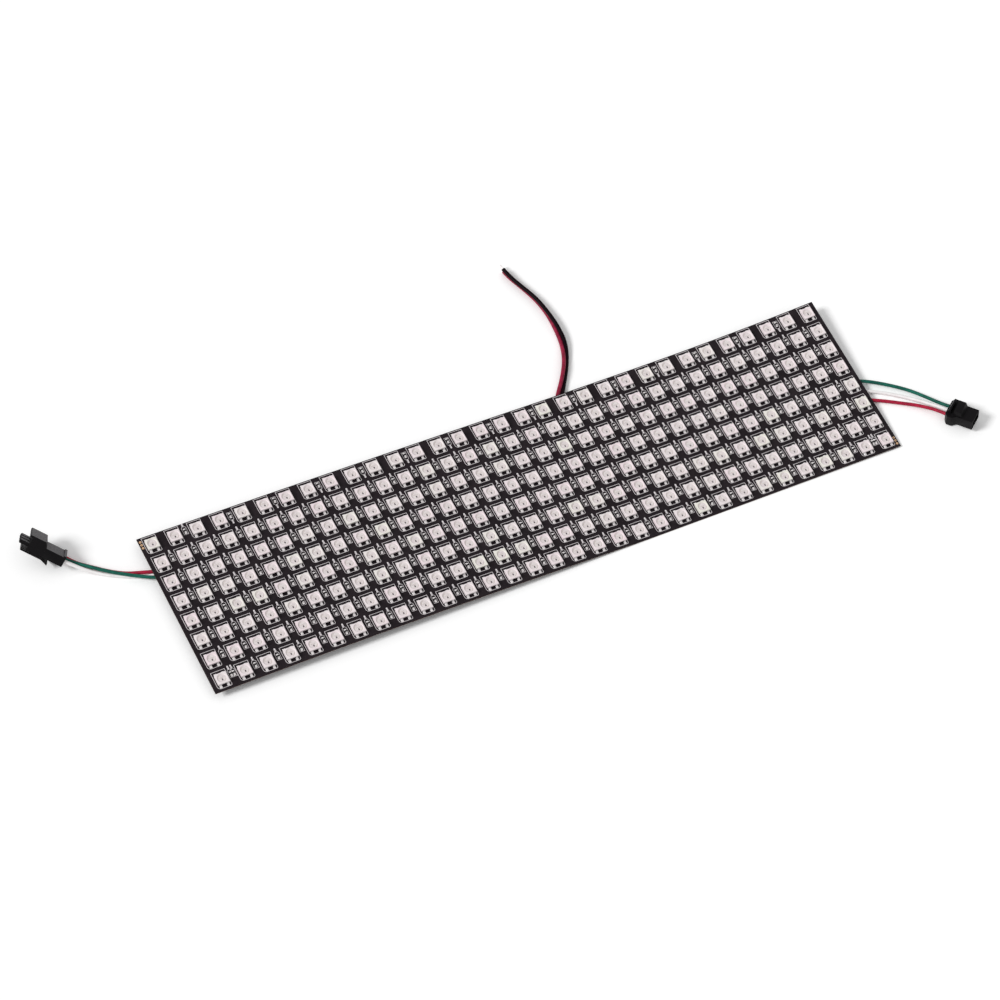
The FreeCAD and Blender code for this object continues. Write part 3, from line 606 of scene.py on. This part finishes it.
# %% Draw the cup of a lamp
SIDE, TALL, FILM_GAP = 5.0, 1.6, 0.05
HALF = SIDE / 2
RIM_TRIM, RIM_INSET = 0.1, 0.08
WINDOW_RADIUS, WINDOW_DISH, WINDOW_LIP, WINDOW_SLOPE = 2.05, 0.3, 0.05, 0.15
RESIN_RADIUS, RESIN_SAG = 1.2, 0.02
RECESS, RECESS_TOP, LEDGE = 0.3, 0.92, 0.05
SIDES = 32
# The last finish number is for the painted shade in the recess.
WHITE, RESIN, FRAME_METAL, CHIP_TONE, PAD_TIN, PAINTED_SHADE = range(6)


def square(inset, z, recess=0.0):
    """Square ring, set in everywhere and more on its near and far side."""
    ring = []
    for x, y, _ in circle(1.0, z, SIDES):
        stretch = HALF / max(abs(x), abs(y))
        ring.append((max(-HALF + inset, min(HALF - inset, x * stretch)),
                     max(-HALF + inset + recess, min(HALF - inset - recess, y * stretch)), z))
    return ring


def draw_cup(lamp):
    """Walls, rim and dished window of the package."""
    lip, dish = TALL - WINDOW_LIP, TALL - WINDOW_DISH
    lamp.loops([square(0.0, FILM_GAP, RECESS), square(0.0, RECESS_TOP, RECESS),
                square(0.0, RECESS_TOP + LEDGE), square(0.0, TALL - RIM_TRIM), square(RIM_INSET, TALL),
                circle(WINDOW_RADIUS + WINDOW_LIP, TALL, SIDES), circle(WINDOW_RADIUS, lip, SIDES)],
               WHITE)
    lamp.loops([circle(WINDOW_RADIUS, lip, SIDES),
                circle(WINDOW_RADIUS - WINDOW_SLOPE, dish, SIDES)], WHITE)
    lamp.loops([circle(WINDOW_RADIUS - WINDOW_SLOPE, dish, SIDES),
                circle(RESIN_RADIUS, dish - RESIN_SAG, SIDES)], RESIN, cap=True)


LAMP = Drawing()
draw_cup(LAMP)
print("corners of the cup:", len(LAMP.corners))

# %% [markdown]
# Seen through the resin, the lead frame is two faint arcs and a gap, and the chips are small dark
# and bright marks. The marks just break the resin's surface, because the resin is drawn opaque. At
# each end two leads come out of the shaded recess, stand on their pads and end in a solder fillet.

# %% Draw the marks in the window, the leads and the pads
ARC_RADIUS, ARC_WIDTH, GAP_WIDTH = 1.55, 0.12, 0.1
LINE_RISE, CHIP_RISE, CHIP_TRIM = 0.012, 0.03, 0.01
CONTROL_CHIP = ((-0.3, -1.05), (0.2, -0.2))
DIE_LEFT_SIDES, DIE_NEAR, DIE_FAR, DIE_WIDTH = (-0.8, -0.1, 0.6), 0.6, 0.82, 0.22
LEADS = ((-2.2, -1.1), (1.05, 2.1))
PAD_REACH, SOLDER_REACH, LEAD_REACH = 1.0, 0.6, 0.06
PAD_TOP, SOLDER_TOP = 0.08, 0.24


def draw_window_marks(lamp):
    """Lead frame, control chip and dies, all just breaking the resin."""
    floor = TALL - WINDOW_DISH
    lamp.line(arc_points((0, 0), ARC_RADIUS, 100, 170, 8), ARC_WIDTH, floor + LINE_RISE, FRAME_METAL)
    lamp.line(arc_points((0, 0), ARC_RADIUS, 280, 350, 8), ARC_WIDTH, floor + LINE_RISE, FRAME_METAL)
    lamp.line([(-1.0, 0.25), (0.9, 0.25)], GAP_WIDTH, floor + LINE_RISE, FRAME_METAL)
    low, high = CONTROL_CHIP
    lamp.block((*low, floor), (*high, floor + CHIP_RISE), CHIP_TONE, trim=CHIP_TRIM)
    for x in DIE_LEFT_SIDES:
        lamp.block((x, DIE_NEAR, floor), (x + DIE_WIDTH, DIE_FAR, floor + CHIP_RISE), PAD_TIN,
                   trim=CHIP_TRIM)


def draw_ends(lamp):
    """Painted shade in the recess at both ends, as a thin dark block, and the leads that fold out of
    it onto their pads.
    """
    for end in (-1, 1):
        y0, y1 = sorted((end * (HALF - RECESS - 0.05), end * (HALF - RECESS + 0.02)))
        # Painted shade: a thin dark block stands on the recessed white wall, where the ledge shades
        # it.
        lamp.block((-HALF + 0.2, y0, FILM_GAP), (HALF - 0.05, y1, RECESS_TOP - 0.02), PAINTED_SHADE, trim=0.01)
        for x0, x1 in LEADS:
            y0, y1 = sorted((end * (HALF - 0.1), end * (HALF + PAD_REACH)))
            lamp.block((x0 - 0.03, y0, 0.0), (x1 + 0.03, y1, PAD_TOP), PAD_TIN, trim=0.04)
            y0, y1 = sorted((end * (HALF - 0.1), end * (HALF + SOLDER_REACH)))
            lamp.block((x0 + 0.05, y0, 0.06), (x1 - 0.05, y1, SOLDER_TOP), PAD_TIN, trim=0.08)
            y0, y1 = sorted((end * (HALF - RECESS), end * (HALF + LEAD_REACH)))
            lamp.block((x0 + 0.05, y0, 0.1), (x1 - 0.05, y1, RECESS_TOP - 0.05), PAD_TIN, trim=0.06)


draw_window_marks(LAMP)
draw_ends(LAMP)
print("corners of one lamp:", len(LAMP.corners))

# %% [markdown]
# The lamps stand on a grid with one pitch in both directions, so a row and a column number give
# each lamp's place, and the sheet's own function tilts it with the wave.

# %% Stamp the lamps, row by row
ROWS, COLUMNS = 8, 32


def column_x(column):
    """Distance of a column of lamps from the sheet's middle."""
    return (column - (COLUMNS - 1) / 2) * LAMP_PITCH


def row_y(row):
    """Distance of a row of lamps from the sheet's middle; row 0 is the far one."""
    return ((ROWS - 1) / 2 - row) * LAMP_PITCH


for row in range(ROWS):
    places = [seat(column_x(column), row_y(row)) for column in range(COLUMNS)]
    name = "lamps_of_row_%d" % (row + 1)
    make_object(name, stamp(name, LAMP, places),
                [LAMP_WHITE, LAMP_RESIN, LEAD_FRAME, DIE, TIN, RECESS_PAINTED_SHADE],
                ["led_row_%d" % (row + 1)])
print("lamps:", ROWS * COLUMNS)

# %% [markdown]
# ## Printed frames and capacitors
# The ink round each lamp is a thin frame with one rounded corner, which marks the first pin. Each
# capacitor stands in a printed bottle shape, its narrow neck holding a small mark. Printed ink is a
# layer of its own, so it is a flat strip a few hundredths of a millimetre over the mask.

# %% Draw the frame, the bottle shape and the capacitor
INK_RISE = 0.03
INK_WIDTH, BOTTLE_LINE = 0.18, 0.14


def frame_drawing():
    """Frame round a lamp: two square corners, a large round one at pin one and a small one."""
    frame_print = Drawing()
    left, right, low, high = -3.1, 2.92, -3.69, 4.45
    large, small = 1.3, 0.6
    path = [(right, high), (left, high)]
    path += arc_points((left + large, low + large), large, 180, 270, 6)
    path += arc_points((right - small, low + small), small, 270, 360, 4)
    frame_print.line(path, INK_WIDTH, INK_RISE, 0, closed=True)
    return frame_print


def bottle_drawing():
    """Bottle outline round a chip that lies at the drawing's middle, its neck pointing away."""
    bottle = Drawing()
    body, neck, base, shoulder, tip = 0.98, 0.3, -1.6, 1.7, 3.8
    taper, stem, cork = 0.85, 0.3, 0.68
    path = [(-body, base), (-body, shoulder), (-neck, shoulder + taper), (-neck, tip)]
    path += arc_points((0, tip), neck, 180, 0, 4)
    path += [(neck, shoulder + taper), (body, shoulder), (body, base)]
    bottle.line(path, BOTTLE_LINE, INK_RISE, 0, closed=True)
    bottle.line([(0, shoulder + 0.4), (0, tip - 0.55)], stem, INK_RISE, 0)
    bottle.line([(0, tip - 0.45), (0, tip + 0.2)], cork, INK_RISE, 0)
    return bottle


def chip_drawing():
    """Ceramic chip capacitor, 1.6 by 0.8 mm, soldered at its two ends."""
    chip = Drawing()
    lift, body, body_end, body_top = 0.04, 0.38, 0.5, 0.66
    cap, cap_start, cap_end, cap_top = 0.4, 0.42, 0.8, 0.7
    solder, solder_start, solder_end, solder_top = 0.5, 0.7, 1.3, 0.16
    chip.block((-body, -body_end, lift), (body, body_end, body_top), 0, trim=0.05)
    for end in (-1, 1):
        y0, y1 = sorted((end * cap_start, end * cap_end))
        chip.block((-cap, y0, lift), (cap, y1, cap_top), 1, trim=0.06)
        y0, y1 = sorted((end * solder_start, end * solder_end))
        chip.block((-solder, y0, 0.0), (solder, y1, solder_top), 1, trim=0.1)
    return chip


FRAME_PRINT, BOTTLE, CHIP = frame_drawing(), bottle_drawing(), chip_drawing()
print("corners of frame, bottle and chip:", [len(d.corners) for d in (FRAME_PRINT, BOTTLE, CHIP)])

# %% [markdown]
# The far row has a capacitor between every second pair of lamps, and most of these point their neck
# to the near side. The near row has two, side by side, in its first and its last gap. Every other
# gap has one.

# %% Stamp the frames, the bottle shapes and the capacitors
CAPACITOR_OFFSET = 1.05
CAPACITOR_PAIR = 0.65


def capacitor_places(row):
    """Place along, sideways shift and whether the neck points to the near side, for each capacitor."""
    places = []
    for gap in range(COLUMNS - 1):
        x = column_x(gap) + LAMP_PITCH / 2
        if row == 0:
            if gap % 2 == 1:
                places.append((x, 0.0, gap != 1))
        elif row == ROWS - 1 and gap in (0, COLUMNS - 2):
            places += [(x, -CAPACITOR_PAIR, False), (x, CAPACITOR_PAIR, False)]
        else:
            places.append((x, 0.0, False))
    return places


frames, bottles = [], []
for row in range(ROWS):
    y = row_y(row)
    chips = []
    frames += [seat(column_x(column), y) for column in range(COLUMNS)]
    for x, aside, turned in capacitor_places(row):
        chips.append(seat(x + aside, y + CAPACITOR_OFFSET))
        bottles.append(seat(x + aside, y + CAPACITOR_OFFSET, turned=turned))
    name = "capacitors_of_row_%d" % (row + 1)
    make_object(name, stamp(name, CHIP, chips), [CERAMIC, TIN],
                ["capacitor_row_%d" % (row + 1)])
for name, drawing, places in (("printed_frames", FRAME_PRINT, frames),
                              ("printed_bottles", BOTTLE, bottles)):
    make_object(name, stamp(name, drawing, places), [INK])
print("capacitors:", len(bottles))

# %% [markdown]
# ## Plated holes at two corners
# Each plated hole is a gold ring round a small dark hole. Three stand at the far left corner and
# three at the near right one.

# %% Draw and stamp the plated holes
EYELET_X, EYELET_STEP = 159.05, 1.55
INPUT_EYELET_Y, OUTPUT_EYELET_Y = 38.1, -35.2
RING_FOOT, RING_CREST, RING_LIP, HOLE, HOLE_MIDDLE = 0.55, 0.51, 0.22, 0.2, 0.05
RING_SIDES = 20


def eyelet_drawing():
    """Flat ring with a trimmed rim, and a dark disc in its hole."""
    ring = Drawing()
    low, high, sunk, deep = 0.02, 0.08, 0.03, 0.025
    ring.loops([circle(RING_FOOT, low, RING_SIDES), circle(RING_CREST, high, RING_SIDES),
                circle(RING_LIP, high, RING_SIDES), circle(HOLE, sunk, RING_SIDES)], 0)
    ring.loops([circle(HOLE, sunk, RING_SIDES), circle(HOLE_MIDDLE, deep, RING_SIDES)], 1, cap=True)
    return ring


EYELET = eyelet_drawing()
for name, x, y in (("input", -EYELET_X, INPUT_EYELET_Y), ("output", EYELET_X, OUTPUT_EYELET_Y)):
    places = [seat(x, y - k * EYELET_STEP) for k in range(3)]
    make_object(name + "_plated_holes", stamp(name + "_plated_holes", EYELET, places), [GOLD, MASK],
                [name + "_eyelets"])
print("corners of one ring:", len(EYELET.corners))

# %% [markdown]
# ## Connector halves
# Moulded nylon never has a knife edge. The CAD solid has the true form, so a copy of its mesh gets
# its flat facets merged and its edges rounded by a bevel as wide as the mould's own radius.

# %% Round the edges of the two housings
EDGE_RADIUS, EDGE_STEPS = 0.12, 2
WELD_DISTANCE, FLAT_ANGLE, BEVEL_ANGLE, CREASE_ANGLE = 0.002, 1.0, 35, 40


def rounded_copy(node, name, finish):
    """Copy of a CAD node with its edges rounded."""
    mesh = NODES[node].data.copy()
    mesh.name = name
    mesh.materials.clear()
    work = bmesh.new()
    work.from_mesh(mesh)
    bmesh.ops.remove_doubles(work, verts=work.verts, dist=WELD_DISTANCE * MM)
    bmesh.ops.dissolve_limit(work, angle_limit=math.radians(FLAT_ANGLE),
                             verts=work.verts, edges=work.edges)
    work.to_mesh(mesh)
    work.free()
    mesh.polygons.foreach_set("material_index", [0] * len(mesh.polygons))
    obj = make_object(name, mesh, [finish], [node])
    bevel = obj.modifiers.new("edge radius", "BEVEL")
    bevel.width = EDGE_RADIUS * MM
    bevel.segments = EDGE_STEPS
    bevel.limit_method = "ANGLE"
    bevel.angle_limit = math.radians(BEVEL_ANGLE)
    bevel.use_clamp_overlap = True
    mesh.shade_smooth()
    mesh.set_sharp_from_angle(angle=math.radians(CREASE_ANGLE))
    return obj


plug = rounded_copy("plug_housing", "plug_shell", NYLON)
receptacle = rounded_copy("receptacle_housing", "receptacle_shell", NYLON)
print("housings:", plug.name, receptacle.name)

# %% [markdown]
# The plug's two broad upper faces look much paler than its sides, and grainy. The paleness is painted
# highlight for the light that falls on these faces, so they get a paler, rougher nylon with a coarser
# grain. One picture doesn't show why: a coarser grain in the mould that scatters more light is the
# guess made here, so these faces get a paler, rougher nylon. Faces are chosen by area and by whether
# they look the way that the plug's upper side does in the CAD.

# %% Painted highlight: paler nylon on the plug's upper faces
# Painted highlight: the paler tone of this nylon stands for the light on the plug's upper faces; its
# coarser grain and bump are the mould's.
PALE_GRAIN_AND_PAINTED_HIGHLIGHT = speckled("coarse-grained nylon with painted highlight", "#5E5C5E", "#403E40", "#767476",
                   0.5, (0.5, 0.7), 0.8, depth=0.05, **{"IOR": 1.53, "Specular IOR Level": 0.3})
PLUG_UP = Vector((0.612, 0.250, 0.750))
SAME_FACING, BROAD_FACE = 0.97, 6.0
plug.data.materials.append(PALE_GRAIN_AND_PAINTED_HIGHLIGHT)
for face in plug.data.polygons:
    if face.normal.dot(PLUG_UP) > SAME_FACING and face.area > BROAD_FACE * MM * MM:
        face.material_index = 1
print("pale faces:", sum(face.material_index for face in plug.data.polygons))

# %% [markdown]
# The contacts and the solder joints keep the CAD's own meshes, because their true form is all that
# can be seen of them. They only get their metal.

# %% Metal for the contacts and the solder joints
for way in (1, 2, 3):
    for node in ("plug_contact_%d" % way, "receptacle_pin_%d" % way):
        NODES[node].data.materials.clear()
        NODES[node].data.materials.append(CONTACT)
for name in ("input_solder_joints", "output_solder_joints", "power_solder_joints"):
    NODES[name].data.materials.clear()
    NODES[name].data.materials.append(TIN)
print("bronze is", CONTACT.name, "and solder is", TIN.name)

# %% [markdown]
# ## Stripped ends
# Each power lead ends in a few millimetres of bare strands, twisted and dipped in solder. Seven
# strands on a helix read as one twisted tip.

# %% Twist the strands
STRIP_LENGTH, STRAND_DIAMETER, TWIST_LENGTH = 2.6, 0.32, 5.0
OUTER_STRANDS, STRAND_STEPS, STRAND_ROUND_STEPS = 6, 10, 3
STRAND_PACKING = 0.98


def strands(name, points, finish):
    """Seven strands round the line that carries a lead on past its end."""
    end, before = Vector(points[-1]), Vector(points[-2])
    way = (end - before).normalized()
    side = way.cross(Vector((0, 0, 1))).normalized()
    up = side.cross(way)
    curve = bpy.data.curves.new(name, "CURVE")
    curve.dimensions = "3D"
    curve.bevel_depth = 1.0
    curve.bevel_resolution = STRAND_ROUND_STEPS
    curve.use_fill_caps = True
    for strand in range(OUTER_STRANDS + 1):
        radius = 0.0 if strand == OUTER_STRANDS else STRAND_DIAMETER * STRAND_PACKING
        spline = curve.splines.new("POLY")
        spline.points.add(STRAND_STEPS)
        for k in range(STRAND_STEPS + 1):
            run = STRIP_LENGTH * k / STRAND_STEPS
            angle = 2 * math.pi * (strand / OUTER_STRANDS + run / TWIST_LENGTH)
            point = end + way * run + (side * math.cos(angle) + up * math.sin(angle)) * radius
            spline.points[k].co = (*(point * MM), 1.0)
            spline.points[k].radius = STRAND_DIAMETER / 2 * MM
    curve.materials.append(finish)
    obj = bpy.data.objects.new(name, curve)
    bpy.context.scene.collection.objects.link(obj)
    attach(obj, "root")
    return obj


for tone in ("red", "black"):
    tip = strands("twisted_end_" + tone, ROUTES["power_lead_" + tone], TIN)
    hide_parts("stripped_end_" + tone)

# %% [markdown]
# Every free wire has its diameter and something on its far end: the two leads end bare, with their
# twisted tips, and the six signal wires end in a connector half.

print("wires declared:", len(WIRES))

# %% [markdown]
# ## Floor and light
# The panel lies on white paper. The camera and glossy reflections see the paper a little whiter than
# the light that bounces off it, so it reads as pure white and still keeps the object's shadow.

# %% Floor
FLOOR_SIZE = 1.6
PAPER, PAPER_SEEN = 0.8, 1.13


def white_floor():
    """Matt white paper, whiter to the camera than to the light that bounces."""
    material, tree = start_material("white paper sweep")
    seen = add(tree, "ShaderNodeLightPath")
    counts = add(tree, "ShaderNodeMath",
                 {0: seen.outputs["Is Camera Ray"], 1: seen.outputs["Is Glossy Ray"]},
                 operation="MAXIMUM")
    white = add(tree, "ShaderNodeMapRange",
                {"Value": counts.outputs[0], "To Min": PAPER, "To Max": PAPER_SEEN})
    paper = add(tree, "ShaderNodeBsdfDiffuse", {"Color": white.outputs["Result"]})
    return finish_material(material, paper)


floor_mesh = bpy.data.meshes.new("paper_sweep")
reach = FLOOR_SIZE / 2
corners = [(-reach, -reach, 0), (reach, -reach, 0), (reach, reach, 0), (-reach, reach, 0)]
floor_mesh.from_pydata(corners, [], [(0, 1, 2, 3)])
floor = bpy.data.objects.new("paper_sweep", floor_mesh)
bpy.context.scene.collection.objects.link(floor)
floor_mesh.materials.append(white_floor())
print("floor:", FLOOR_SIZE, "m wide")

# %% [markdown]
# The light comes from the left, along the sheet and about 40 degrees up: the left wall of each lamp
# is then as white as its top, and the floor under the raised near edge stays dark. A sun lamp lights
# the floor equally all over, and its wide disc keeps the shadows soft. An even white sky fills the
# rest; it is at full white only where the camera looks straight at it.

# %% Sky and sun
SKY_LIGHT, SKY_SEEN = 0.54, 1.0
SUN_STRENGTH, SUN_SPREAD = 2.0, 18.0
SUN_FROM = (-0.78, 0.1, 0.62)

world = bpy.data.worlds.new("white sky")
bpy.context.scene.world = world
world.use_nodes = True
sky = world.node_tree
sky.nodes.clear()
ray = add(sky, "ShaderNodeLightPath")
direct = add(sky, "ShaderNodeMath",
             {0: ray.outputs["Is Camera Ray"], 1: ray.outputs["Is Transmission Ray"]},
             operation="MAXIMUM")
strength = add(sky, "ShaderNodeMapRange",
               {"Value": direct.outputs[0], "To Min": SKY_LIGHT, "To Max": SKY_SEEN})
white = add(sky, "ShaderNodeBackground",
            {"Color": (1.0, 1.0, 1.0, 1.0), "Strength": strength.outputs["Result"]})
add(sky, "ShaderNodeOutputWorld", {"Surface": white.outputs[0]})

sun_data = bpy.data.lights.new("side_sun", "SUN")
sun_data.energy = SUN_STRENGTH
sun_data.angle = math.radians(SUN_SPREAD)
sun = bpy.data.objects.new("side_sun", sun_data)
bpy.context.scene.collection.objects.link(sun)
sun.rotation_euler = (-Vector(SUN_FROM)).to_track_quat("-Z", "Y").to_euler()
bpy.context.scene.view_settings.view_transform = "Standard"
print("sun:", SUN_STRENGTH, "strong and", SUN_SPREAD, "degrees wide")

# %% [markdown]
# ## Finish
# The view layer is brought up to date at the end.

# %% Finish
bpy.context.view_layer.update()
